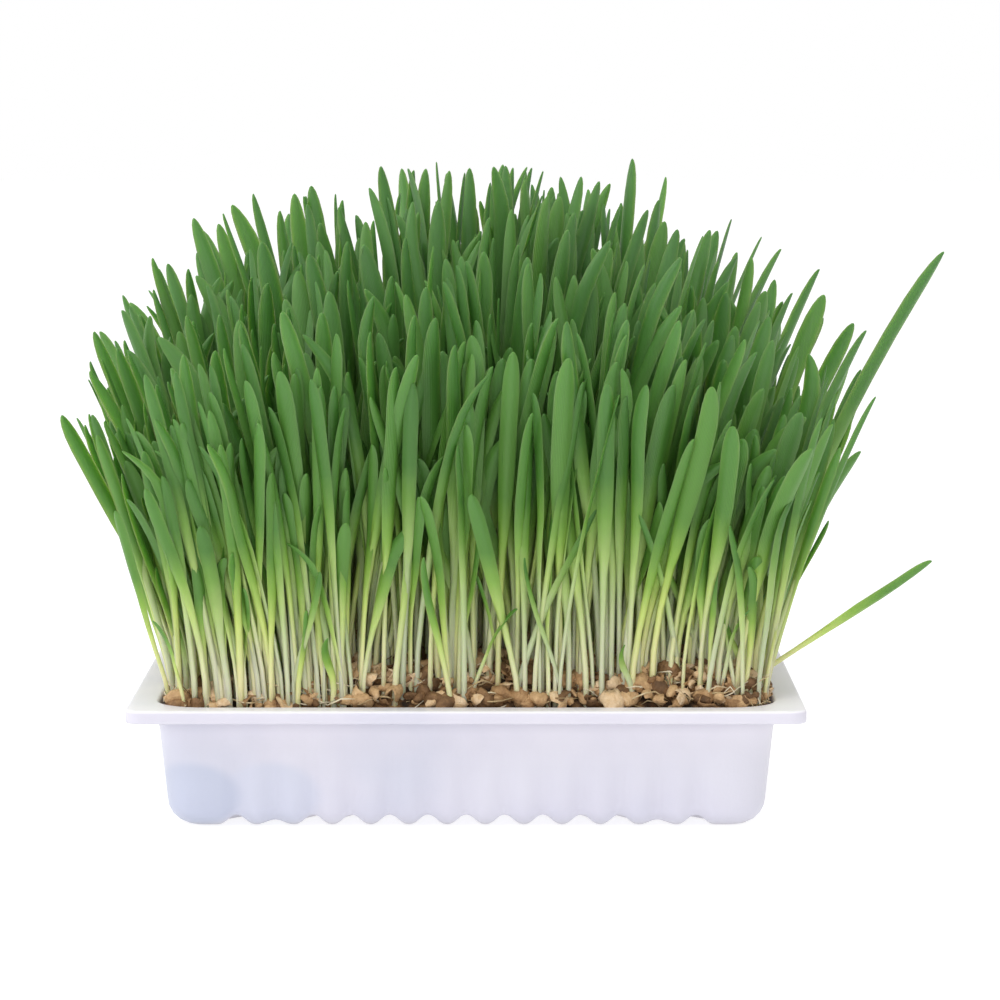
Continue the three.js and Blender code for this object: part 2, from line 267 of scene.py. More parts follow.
def mottle(tree, cloud_scale, grain_scale):
    """The mottle group in a material, at that material's own scales."""
    made = node(tree, "ShaderNodeGroup", node_tree=MOTTLE)
    made.inputs["Cloud Scale"].default_value = cloud_scale
    made.inputs["Grain Scale"].default_value = grain_scale
    return made


MOTTLE = mottle_group()
COOL_PATCHES = (
    # centre, 1 / half sizes, colour
    ((-0.055, -0.056, 0.009), (62, 42, 86), (219, 220, 236)),
    ((-0.077, -0.056, 0.009), (64, 42, 88), (205, 209, 228)),
)

white_plastic, tree, shader = material("white_plastic")
cloudy = mottle(tree, 16.0, 700.0)
tint = ramp(tree, cloudy.outputs["Cloud"], [
    (0.34, linear(218, 218, 233)),
    (0.50, linear(228, 225, 238)),
    (0.70, linear(234, 231, 242)),
])
# Two cool bluish patches are painted low on the front, near the left end.
spot = node(tree, "ShaderNodeTexCoord")
for at, per_metre, colour in COOL_PATCHES:
    centred = node(tree, "ShaderNodeMapping", {"Location": tuple(-c for c in at)})
    tree.links.new(spot.outputs["Object"], centred.inputs["Vector"])
    sized = node(tree, "ShaderNodeMapping", {"Scale": per_metre})
    tree.links.new(centred.outputs["Vector"], sized.inputs["Vector"])
    patch_falloff = node(tree, "ShaderNodeTexGradient", gradient_type="SPHERICAL")
    tree.links.new(sized.outputs["Vector"], patch_falloff.inputs["Vector"])
    edge = node(tree, "ShaderNodeMapRange", {"From Max": 0.3}, interpolation_type="SMOOTHSTEP")
    tree.links.new(patch_falloff.outputs["Fac"], edge.inputs["Value"])
    patch_mix = node(tree, "ShaderNodeMix", data_type="RGBA")
    patch_mix.inputs[7].default_value = (*linear(*colour), 1)
    tree.links.new(edge.outputs["Result"], patch_mix.inputs[0])
    tree.links.new(tint, patch_mix.inputs[6])
    tint = patch_mix.outputs[2]
# Painted light by height: the sheet is painted darker towards its foot, with a painted shadow
# along its lowest edge, lighter and darker bands up the wall, and painted light on the flange's
# top.
split = node(tree, "ShaderNodeSeparateXYZ")
tree.links.new(spot.outputs["Object"], split.inputs[0])
rise = node(tree, "ShaderNodeMath", operation="DIVIDE")
rise.inputs[1].default_value = TRAY_HEIGHT
tree.links.new(split.outputs["Z"], rise.inputs[0])
painted_height_light = ramp(tree, rise.outputs[0], [
    (0.0, (0.62, 0.62, 0.60)), (0.05, (0.74, 0.75, 0.76)), (0.12, (0.80, 0.81, 0.83)),
    (0.5, (0.82, 0.83, 0.84)), (0.78, (0.91, 0.91, 0.91)), (0.86, (0.87, 0.87, 0.87)),
    (0.92, (0.82, 0.82, 0.83)), (0.98, (0.82, 0.82, 0.83)), (1.0, (1.25, 1.25, 1.18))])
# The tint is multiplied by this painted shade and light by height.
height_lit_tint = node(tree, "ShaderNodeMix", data_type="RGBA", blend_type="MULTIPLY")
height_lit_tint.inputs[0].default_value = 1.0
tree.links.new(tint, height_lit_tint.inputs[6])
tree.links.new(painted_height_light, height_lit_tint.inputs[7])
tree.links.new(height_lit_tint.outputs[2], shader.inputs["Base Color"])
sheen = node(tree, "ShaderNodeMapRange", {"To Min": 0.28, "To Max": 0.46})
tree.links.new(cloudy.outputs["Cloud"], sheen.inputs["Value"])
tree.links.new(sheen.outputs["Result"], shader.inputs["Roughness"])
peel = node(tree, "ShaderNodeBump", {"Strength": 0.12, "Distance": 0.0004})
tree.links.new(cloudy.outputs["Grain"], peel.inputs["Height"])
tree.links.new(peel.outputs["Normal"], shader.inputs["Normal"])
shader.inputs["Subsurface Weight"].default_value = 0.15
shader.inputs["Subsurface Radius"].default_value = (1.0, 1.0, 1.0)
shader.inputs["Subsurface Scale"].default_value = 0.003

tray = piece("tray_shell", shell_mesh("tray_shell", tray_stations(), tray_levels(), tray_point),
             white_plastic, "tray", "tray")
sheet = tray.modifiers.new("sheet", "SOLIDIFY")
sheet.thickness = SHEET
sheet.offset = -1
sheet.use_even_offset = True


# --- Soil -----------------------------------------------------------------------------
# Damp dark potting soil, pressed into the tray up to its rim, with crumbs and fibres. It
# shows between the husks and the stems' feet along the tray's edge.
FILL_INSET = 2.2 * MM
FILL_X = WALL_X - FILL_INSET
FILL_Y = WALL_Y - FILL_INSET
FILL_CORNER = WALL_CORNER - FILL_INSET
SOIL_LOW = 6.8 * MM
SOIL_LOW_INSET = 4.4 * MM
MAT_TOP = TRAY_HEIGHT + 6 * MM
EDGE_TOP = TRAY_HEIGHT - 1.0 * MM
EDGE_WIDTH = 7 * MM
MOUND = 6 * MM
MOUND_WIDTH = 24 * MM
HUSK_COVER = 1.8 * MM
SUNK_FROM = -38 * MM
SUNK_OVER = 22 * MM
SUNK_BACK = 30 * MM
SUNK_SHARE = 0.75


def portion(part, whole):
    """A part of a whole, kept between 0 and 1."""
    return max(0, min(1, part / whole))


def ease(value):
    """A share that starts and ends gently."""
    return value * value * (3 - 2 * value)


def depth_inside(x, y):
    """How far a point in plan lies inside the filling's rounded outline."""
    dx, dy = abs(x) - (FILL_X - FILL_CORNER), abs(y) - (FILL_Y - FILL_CORNER)
    beyond = math.hypot(max(dx, 0), max(dy, 0)) + min(max(dx, dy), 0)
    return FILL_CORNER - beyond


def lumps(x, y, size, seed):
    """Smooth noise over the plan, its lumps about as wide as size."""
    return noise.noise(Vector((x / size, y / size, seed)))


def low_end(x, y):
    """Where the heap has sunk, 0 to 1: at the front's left end stems stand clear of husks."""
    return ease(portion(SUNK_FROM - x, SUNK_OVER)) * portion(-y, SUNK_BACK)


def soil_top(x, y):
    """How high the heap stands at a place in plan."""
    inside = depth_inside(x, y)
    slope = ease(portion(inside, EDGE_WIDTH)) * (1 - SUNK_SHARE * low_end(x, y))
    mound = MOUND * math.sin(math.pi / 2 * portion(inside, MOUND_WIDTH))
    heap = (MAT_TOP - HUSK_COVER - EDGE_TOP + mound) * slope
    crumbly = 0.8 * lumps(x, y, 9 * MM, 1) + 0.5 * lumps(x, y, 2.6 * MM, 4)
    return EDGE_TOP + heap + crumbly * MM


def soil_mesh():
    """A fine sheet of crumbs, fitted to the tray's outline, on a block that fills it."""
    bm = bmesh.new()
    bmesh.ops.create_grid(bm, x_segments=150, y_segments=104, size=1)
    for v in bm.verts:
        # A square grid is drawn into the rounded outline, so its rim is the filling's rim.
        u, w = v.co.x, v.co.y
        x, y = u * FILL_X, w * FILL_Y
        over = max(abs(x) - (FILL_X - FILL_CORNER), 0), max(abs(y) - (FILL_Y - FILL_CORNER), 0)
        if over[0] and over[1]:
            far = math.hypot(*over)
            square = max(over)
            x -= math.copysign(over[0] * (1 - square / far), x)
            y -= math.copysign(over[1] * (1 - square / far), y)
        v.co = Vector((x, y, soil_top(x, y)))
    rim = [e for e in bm.edges if e.is_boundary]
    foot = bmesh.ops.extrude_edge_only(bm, edges=rim)["geom"]
    low = [g for g in foot if isinstance(g, bmesh.types.BMVert)]
    for v in low:
        v.co.x *= (FILL_X - SOIL_LOW_INSET) / FILL_X
        v.co.y *= (FILL_Y - SOIL_LOW_INSET) / FILL_Y
        v.co.z = SOIL_LOW
    bmesh.ops.contextual_create(
        bm, geom=[g for g in foot if isinstance(g, bmesh.types.BMEdge)
                  and all(v in set(low) for v in g.verts)])
    bmesh.ops.recalc_face_normals(bm, faces=bm.faces[:])
    mesh = bpy.data.meshes.new("soil_bed")
    bm.to_mesh(mesh)
    bm.free()
    return mesh


potting_soil, tree, shader = material("potting_soil")
crumbs = mottle(tree, 260.0, 1400.0)
earth = ramp(tree, crumbs.outputs["Cloud"], [
    (0.34, linear(38, 27, 15)),
    (0.48, linear(88, 62, 36)),
    (0.60, linear(140, 104, 64)),
    (0.74, linear(184, 146, 98)),
])
tree.links.new(earth, shader.inputs["Base Color"])
shader.inputs["Roughness"].default_value = 0.93
rough = node(tree, "ShaderNodeBump", {"Strength": 0.9, "Distance": 0.0008})
tree.links.new(crumbs.outputs["Grain"], rough.inputs["Height"])
tree.links.new(rough.outputs["Normal"], shader.inputs["Normal"])

piece("soil_bed", soil_mesh(), potting_soil, "soil", "soil")


# --- Seeds and husks ------------------------------------------------------------------
# Spent wheat seeds and split, papery husks lie thick over the soil and between the stems:
# plump grains with a crease, and open half shells. They are tan, some grey or dark.
def draws(seed):
    """Random numbers from 0 to 1, the same on every run."""
    state = seed

    def draw():
        nonlocal state
        state = state * 48271 % 2147483647
        return state / 2147483647

    return draw


def seed_shape(kind):
    """A plump grain, 1 long: pointed at one end, with a crease along its belly."""
    bm = bmesh.new()
    bmesh.ops.create_uvsphere(bm, u_segments=10, v_segments=7, radius=0.5)
    for v in bm.verts:
        x, y, z = v.co
        v.co = Vector((z, x * (0.50 - 0.18 * z), y * (0.46 - 0.12 * z)))
        if v.co.z > 0:
            v.co.z *= 1 - 0.75 * math.exp(-((v.co.y / 0.07) ** 2))
        v.co += noise.noise_vector(v.co * 3.4 + Vector((kind, 0, 0))) * 0.09
    return shape_lists(bm)


def shell_shape(kind):
    """A split husk, 1 long: an open papery bowl with a torn, curling rim."""
    bm = bmesh.new()
    bmesh.ops.create_uvsphere(bm, u_segments=10, v_segments=8, radius=0.5)
    everything = bm.verts[:] + bm.edges[:] + bm.faces[:]
    bmesh.ops.bisect_plane(bm, geom=everything, plane_co=(0, 0, 0.08), plane_no=(0.1, 0.2, 1),
                           clear_outer=True)
    bmesh.ops.recalc_face_normals(bm, faces=bm.faces[:])
    bmesh.ops.solidify(bm, geom=bm.faces[:], thickness=0.03)
    for v in bm.verts:
        v.co.y *= 0.62
        ragged = noise.noise(Vector((v.co.x * 5, v.co.y * 5, kind)))
        v.co.z += 0.7 * ragged * max(0, v.co.z + 0.3)
        v.co += noise.noise_vector(v.co * 2.6 + Vector((0, kind, 0))) * 0.16
    return shape_lists(bm)


def shape_lists(bm):
    """The corners and faces of a small shape, ready to be copied."""
    bmesh.ops.recalc_face_normals(bm, faces=bm.faces[:])
    bm.verts.index_update()
    made = [v.co.copy() for v in bm.verts], [[v.index for v in f.verts] for f in bm.faces]
    bm.free()
    return made


# Unless it has a seed, noise_vector differs from run to run.
noise.seed_set(41)
GRAINS = [seed_shape(3.7 * k) for k in range(5)]
SHELLS = [shell_shape(2.9 * k) for k in range(4)]


def strewn(name, copies):
    """One mesh of many small shapes, each put in its place and given its own tone."""
    points, faces, tones = [], [], []
    for (corners, sides), place, tone in copies:
        start = len(points)
        points += [place @ c for c in corners]
        faces += [[start + k for k in side] for side in sides]
        tones += [tone] * len(corners)
    mesh = bpy.data.meshes.new(name)
    mesh.from_pydata(points, [], faces)
    mesh.attributes.new("tone", "FLOAT", "POINT").data.foreach_set("value", tones)
    return mesh


def spread(draw, width):
    """A draw to either side of nought, over a width."""
    return (draw() - 0.5) * width


def scatter_grains(name, count, seed, length, shell_share, where):
    """Many grains and husks in one mesh, each turned, sized and toned by its own draws."""
    draw = draws(seed)
    copies = []
    for _ in range(count):
        spot = where(draw)
        shell = draw() < shell_share
        kinds = SHELLS if shell else GRAINS
        shape = kinds[int(draw() * len(kinds))]
        size = length * (0.7 + 0.55 * draw()) * (1.35 if shell else 1)
        tone = draw()
        lie = Euler((2 * math.pi * draw(), spread(draw, 1.1), 2 * math.pi * draw()))
        copies.append((shape, Matrix.LocRotScale(spot, lie, Vector((size, size, size))), tone))
    return strewn(name, copies)


WALL_GAP = 0.9 * MM
BELT = 15 * MM
RIM_BELT = 4 * MM
OVER_RIM = 1.2 * MM
SINKING = 4.5 * MM
END_GAP = 3 * MM
HEAP_GAP = 5 * MM
# Draws below these put a grain at the front, at the back and at the right end.
FRONT, BACK, RIGHT = 0.42, 0.62, 0.81


def near_edge(draw):
    """A place on the heap, more often near its edges, where the grains show."""
    side = draw()
    along = 2 * draw() - 1
    inward = WALL_GAP + BELT * draw() ** 1.4
    if side < BACK:
        x, y = along * (FILL_X - END_GAP), (FILL_Y - inward) * (-1 if side < FRONT else 1)
    else:
        x, y = (FILL_X - inward) * (1 if side < RIGHT else -1), along * (FILL_Y - END_GAP)
    short = WALL_GAP - depth_inside(x, y)
    if short > 0:
        x -= math.copysign(short, x)
        y -= math.copysign(short, y)
    high = draw()
    sunk = SINKING * low_end(x, y)
    above = soil_top(x, y) + (0.8 + 2.0 * high ** 2) * MM - sunk * (1 - high)
    if depth_inside(x, y) <= RIM_BELT:
        # Next to the wall the grains lie level with the rim.
        above = max(above, TRAY_HEIGHT + OVER_RIM - sunk)
    return Vector((x, y, above))


def all_over(draw):
    """A place anywhere on the heap."""
    x = (2 * draw() - 1) * (FILL_X - HEAP_GAP)
    y = (2 * draw() - 1) * (FILL_Y - HEAP_GAP)
    return Vector((x, y, soil_top(x, y) + (0.4 + 1.2 * draw()) * MM))


husk, tree, shader = material("husk")
shade = node(tree, "ShaderNodeAttribute", attribute_name="tone")
flecks = mottle(tree, 520.0, 1300.0)
blend = node(tree, "ShaderNodeMath", operation="MULTIPLY_ADD")
blend.inputs[1].default_value = 0.62
tree.links.new(shade.outputs["Fac"], blend.inputs[0])
part = node(tree, "ShaderNodeMath", operation="MULTIPLY")
part.inputs[1].default_value = 0.5
tree.links.new(flecks.outputs["Cloud"], part.inputs[0])
tree.links.new(part.outputs[0], blend.inputs[2])
tan = ramp(tree, blend.outputs[0], [
    (0.10, linear(64, 44, 24)),
    (0.30, linear(112, 80, 48)),
    (0.50, linear(166, 128, 86)),
    (0.72, linear(208, 172, 126)),
    (0.96, linear(234, 210, 176)),
])
tree.links.new(tan, shader.inputs["Base Color"])
shader.inputs["Roughness"].default_value = 0.72
crinkle = node(tree, "ShaderNodeBump", {"Strength": 0.9, "Distance": 0.0006})
tree.links.new(flecks.outputs["Grain"], crinkle.inputs["Height"])
tree.links.new(crinkle.outputs["Normal"], shader.inputs["Normal"])

piece("edge_husks", scatter_grains("edge_husks", count=900, seed=4021, length=5.0 * MM,
                                   shell_share=0.6, where=near_edge), husk, "soil")
piece("spent_seeds", scatter_grains("spent_seeds", count=900, seed=977, length=5.4 * MM,
                                    shell_share=0.5, where=all_over), husk, "soil")


# --- Rootlets -------------------------------------------------------------------------
# Fine pale roots and bits of straw creep over the soil between the seeds and hold the mat
# together. Each is a thin crooked thread.
def thread_shape(kind):
    """A crooked three-sided thread, 1 long, tapered to both ends."""
    bm = bmesh.new()
    bmesh.ops.create_cone(bm, cap_ends=True, segments=3, radius1=0.018, radius2=0.018, depth=1)
    sides = [e for e in bm.edges if abs(e.verts[0].co.z - e.verts[1].co.z) > 0.5]
    bmesh.ops.subdivide_edges(bm, edges=sides, cuts=6, use_grid_fill=True)
    for v in bm.verts:
        along = v.co.z
        slim = math.sqrt(max(0.04, 1 - (2 * along) ** 2))
        bend = Vector((noise.noise(Vector((along * 2.2, kind, 0))),
                       noise.noise(Vector((along * 2.2, kind, 9))), 0)) * 0.42
        v.co = Vector((along, v.co.x * slim + bend.x, v.co.y * slim + 0.35 * bend.y))
    return shape_lists(bm)


THREADS = [thread_shape(5.3 * k) for k in range(6)]
THREAD_SCALE = 16 * MM
NEAR_EDGE_SHARE = 0.6


def scatter_threads(name, count, seed):
    """Many threads in one mesh, more of them near the tray's edge."""
    draw = draws(seed)
    copies = []
    for _ in range(count):
        spot = near_edge(draw) if draw() < NEAR_EDGE_SHARE else all_over(draw)
        shape = THREADS[int(draw() * len(THREADS))]
        long = (9 + 13 * draw()) * MM
        short = 1.5 * MM + long / 2 - depth_inside(spot.x, spot.y)
        spin = 2 * math.pi * draw()
        if short > 0:
            # Near the wall a thread lies along it.
            by_front = FILL_Y - abs(spot.y) < FILL_X - abs(spot.x)
            spin = (0 if by_front else math.pi / 2) + spread(draw, 0.5)
        lie = Euler((2 * math.pi * draw(), spread(draw, 0.35), spin))
        size = Vector((long, THREAD_SCALE, THREAD_SCALE))
        copies.append((shape, Matrix.LocRotScale(spot, lie, size), draw()))
    return strewn(name, copies)


rootlet, tree, shader = material("rootlet")
shade = node(tree, "ShaderNodeAttribute", attribute_name="tone")
flecks = mottle(tree, 300.0, 1800.0)
blend = node(tree, "ShaderNodeMath", operation="MULTIPLY_ADD")
blend.inputs[1].default_value = 0.7
tree.links.new(shade.outputs["Fac"], blend.inputs[0])
tree.links.new(flecks.outputs["Cloud"], blend.inputs[2])
pale_root = ramp(tree, blend.outputs[0], [
    (0.4, linear(128, 98, 62)),
    (0.8, linear(196, 172, 128)),
    (1.0, linear(226, 214, 186)),
])
tree.links.new(pale_root, shader.inputs["Base Color"])
shader.inputs["Roughness"].default_value = 0.6

piece("rootlets", scatter_threads("rootlets", count=420, seed=6113), rootlet, "soil")


# --- Wheatgrass -----------------------------------------------------------------------
# Young wheat shoots, eight or nine days old: each a slim pale sheath that opens into one
# leaf, narrow at its foot, widest at three quarters of its height and blunt at its tip, with
# a midrib and fine parallel veins.
COLUMNS = 26
ROWS = 13
TURF_INSET = 2 * MM
MAT_X = WALL_X - 3.8 * MM
MAT_Y = WALL_Y - 3.8 * MM
FOOT_LEVEL = TRAY_HEIGHT + 5 * MM
BLADE_HEIGHT = 144 * MM
BLADE_WIDTH = 5.2 * MM
STEM_WIDTH = 2.2 * MM
KEEL = 1.0 * MM
BEND = 1.5
TWIST = 0.6
TWIST_FROM = 0.45
CLUMPING = 0.05
TURF_CORNER = 9 * MM
MAX_LEAN = 0.27
CREST_AT = 0.50
CREST_RISE = 0.11
CREST_SPREAD = 0.07
FALL_FROM = 0.64
FALL = 0.13
FALL_SPREAD = 0.03
FOOT_LIFT = 0.5 * MM
CAD_LEVELS = (0, 0.45, 0.72, 0.94, 1)
CAD_SPREAD = (0, 0, 1, 0.66)
TURF_SEED = 20817
LOOSE_BLADES = (
    # foot x, y, tip x, y, height, width, bend
    (-82, -30, -116, -34, 75, 4.6, 1.35),
    (-82, -12, -107, -6, 63, 4.2, 1.35),
    (82, -24, 134, -30, 121, 4.8, 1.35),
    (81, -38, 132, -50, 35, 4.6, 1),
    (82, -12, 112, -16, 63, 4.2, 1.35),
    (81, 4, 114, 8, 75, 3.6, 1.35),
)


def at_levels(values, t):
    """A value between those given for the CAD's levels, at a share of a blade's height."""
    i = max(0, next((k for k, level in enumerate(CAD_LEVELS) if level > t), 0) - 1)
    share = (t - CAD_LEVELS[i]) / (CAD_LEVELS[i + 1] - CAD_LEVELS[i])
    return values[i] + (values[i + 1] - values[i]) * share


def shoot(x, y, z, height, width, bend, lean_x=0, lean_y=0, turn=0):
    """One shoot: where it stands, how large it is, and how it leans, bends and is turned."""
    made = dict(x=x, y=y, z=z, height=height, width=width, bend=bend, lean_x=lean_x,
                lean_y=lean_y, turn=turn)
    made["widths"] = [STEM_WIDTH + (width - STEM_WIDTH) * s for s in CAD_SPREAD] + [0]
    made["reaches"] = [height * t ** bend for t in CAD_LEVELS]
    return made


def turn_at(blade, t):
    """How far a blade is turned at a share of its height, with its twist."""
    return blade["turn"] + TWIST * max(0, t - TWIST_FROM)


def clear_of(a, b):
    """Whether two shoots stay clear of each other, level by level."""
    if math.hypot(a["x"] - b["x"], a["y"] - b["y"]) > 90 * MM:
        return True
    z = a["z"]
    top = a["z"] + min(a["height"], b["height"])
    while z < top - 1e-12:
        ta, tb = (z - a["z"]) / a["height"], max(0, z - b["z"]) / b["height"]
        ra, rb = at_levels(a["reaches"], ta), at_levels(b["reaches"], tb)
        dx = a["x"] + a["lean_x"] * ra - b["x"] - b["lean_x"] * rb
        dy = a["y"] + a["lean_y"] * ra - b["y"] - b["lean_y"] * rb
        wa, wb = at_levels(a["widths"], ta) / 2, at_levels(b["widths"], tb) / 2
        z += 4 * MM
        if math.hypot(dx, dy) > wa + wb + KEEL:
            continue
        turn_a, turn_b = turn_at(a, ta), turn_at(b, tb)
        aside = abs(dx * math.sin(turn_a) - dy * math.cos(turn_a))
        bside = abs(dx * math.sin(turn_b) - dy * math.cos(turn_b))
        skew = abs(math.sin(turn_a - turn_b))
        if aside < wb * skew + KEEL and bside < wa * skew + KEEL:
            return False
    return True


def stand(across, back):
    """How tall the turf stands at a place in plan, as a share of its tallest blades."""
    return (1 - 0.3 * abs(across) ** 2) * (1 - 0.32 * ((1 - back) / 2) ** 2.2)


def fan(across, back):
    """How far blades lean sideways: outwards, and together in clumps."""
    clump = CLUMPING * math.sin(7 * across + 3 * back)
    return 0.13 * across + 0.12 * across ** 3 + clump


def main_shoots():
    """The shoots that the CAD model has, by the same rule and the same draws."""
    draw = draws(TURF_SEED)
    shoots = []
    for x, y, tip_x, tip_y, height, width, bend in LOOSE_BLADES:
        shoots.append(shoot(x * MM, y * MM, FOOT_LEVEL, height * MM, width * MM, bend,
                            (tip_x - x) / height, (tip_y - y) / height, 0.25))
    span_x, span_y = MAT_X - TURF_INSET, MAT_Y - TURF_INSET
    for row in range(ROWS):
        for column in range(COLUMNS):
            stagger = 0.25 if row % 2 else -0.25
            across = 2 * (column + 0.5 + stagger) / COLUMNS - 1 + spread(draw, 0.04)
            back = max(-1, min(1, 2 * row / (ROWS - 1) - 1 + spread(draw, 0.07)))
            tall = stand(across, back) * (1 - 0.28 * draw() ** 2)
            blade = shoot(across * span_x, back * span_y, FOOT_LEVEL,
                          BLADE_HEIGHT * tall, BLADE_WIDTH * (0.8 + 0.4 * draw()), BEND)
            corner = (max(0, abs(across) * span_x - span_x + TURF_CORNER) ** 2
                      + max(0, abs(back) * span_y - span_y + TURF_CORNER) ** 2)
            if corner > TURF_CORNER ** 2:
                continue
            for attempt in range(12):
                calm = 1 - attempt / 16
                blade["lean_x"] = fan(across, back) + spread(draw, 0.22) * calm
                blade["lean_y"] = 0.13 * back + spread(draw, 0.16) * calm
                blade["turn"] = spread(draw, 2.4)
                if all(clear_of(other, blade) for other in shoots):
                    shoots.append(blade)
                    break
    return shoots


def late_shoot(draw, x, y, height, width, bend, lean_x, lean_y):
    """A shoot that stands on the soil, turned any way."""
    z = soil_top(x, y) + FOOT_LIFT
    return shoot(x, y, z, height, width, bend, lean_x, lean_y, spread(draw, 2.8))


def filling_shoots(count, seed):
    """The finer shoots that stand between the main ones and thick along the tray's edge."""
    draw = draws(seed)
    shoots = []
    for _ in range(count):
        foot = near_edge(draw) if draw() < 0.36 else all_over(draw)
        across, back = foot.x / FILL_X, foot.y / FILL_Y
        loose = 0.26 + 0.22 * (1 - back) / 2
        # They stand taller right of the middle, and beyond that the turf falls away.
        crest = (1 + CREST_RISE * math.exp(-((across - CREST_AT) / CREST_SPREAD) ** 2)
                 - FALL / (1 + math.exp((FALL_FROM - across) / FALL_SPREAD)))
        tall = BLADE_HEIGHT * stand(across, back) * (0.97 - 0.52 * draw() ** 1.4) * crest
        width = BLADE_WIDTH * (0.68 + 0.4 * draw()) * (1 - 0.3 * across ** 8)
        aside = max(-MAX_LEAN, min(MAX_LEAN, fan(across, back) + spread(draw, loose)))
        shoots.append(late_shoot(draw, foot.x, foot.y, tall, width, BEND, aside,
                                 0.13 * back + spread(draw, 0.22)))
    return shoots


def end_shoots(count, seed):
    """Shoots at the tray's two ends, close to the wall, that lean out from the foot."""
    draw = draws(seed)
    shoots = []
    for i in range(count):
        out = -1 if i % 2 else 1
        y = (2 * draw() - 1) * (FILL_Y - 9 * MM)
        x = out * (FILL_X - (0.8 + 2.6 * draw()) * MM)
        lean = 0.14 + 0.22 * draw() if out < 0 else 0.06 + 0.3 * draw()
        shoots.append(late_shoot(
            draw, x, y, BLADE_HEIGHT * (0.25 + 0.38 * draw()),
            BLADE_WIDTH * (0.42 + 0.32 * draw()), 1.15, out * lean,
            0.13 * y / FILL_Y + spread(draw, 0.2)))
    return shoots


def front_shoots(count, seed):
    """Shoots that stand against the front wall near its left end, where few husks lie."""
    draw = draws(seed)
    shoots = []
    for _ in range(count):
        x = -(0.36 + 0.54 * draw()) * (FILL_X - 3 * MM)
        y = -(FILL_Y - (0.8 + 3.2 * draw()) * MM)
        shoots.append(late_shoot(
            draw, x, y, BLADE_HEIGHT * (0.3 + 0.4 * draw()), BLADE_WIDTH * (0.58 + 0.3 * draw()),
            1.3, fan(x / FILL_X, -1) + spread(draw, 0.2), -0.05 + spread(draw, 0.16)))
    return shoots


def young_shoots(count, seed):
    """Late shoots, short and pale, that lean every way among the husks near the edge."""
    draw = draws(seed)
    shoots = []
    for _ in range(count):
        foot = near_edge(draw)
        back = foot.y / FILL_Y
        shoots.append(late_shoot(
            draw, foot.x, foot.y, (14 + 40 * draw()) * MM, STEM_WIDTH * (0.8 + 0.6 * draw()),
            1.2, spread(draw, 0.9), 0.2 * back + spread(draw, 0.3)))
    return shoots


SMOOTH_LEVELS = (0, 0.12, 0.26, 0.4, 0.5, 0.6, 0.7, 0.8, 0.88, 0.93, 0.965, 0.986, 0.997, 1)
ROOT = 8 * MM
SWAY = 7 * MM
TIP_CURL = 6 * MM
CURL_FROM = 0.6
HOOK = 22 * MM
HOOK_FROM = 0.8
HOOKED_SHARE = 0.22
LEAF_FOLD = 0.34
LEAF_THICK = 0.24 * MM
STEM_THICK = 0.62
# Painted shade deep in the turf: how much greener and darker a blade is painted, and over what
# depth.
INNER_SHADE_GREEN = 0.07
INNER_DEPTH = 22 * MM
# How far across the leaf each corner of a ring lies in the leaf's UV map.
RING_U = (0, 0.25, 0.5, 0.75, 1, 0.5, 0)


def smooth_width(blade, t):
    """The leaf's real outline: sheath, swelling leaf, rounded blunt end."""
    open_up = ease(portion(t - 0.26, 0.44))
    close = max(0, (t - 0.88) / 0.12)
    end = math.sqrt(max(0, 1 - close ** 1.9))
    stem = STEM_WIDTH * blade["stem"]
    return max(0.16 * MM, (stem + (blade["width"] - stem) * open_up) * end)


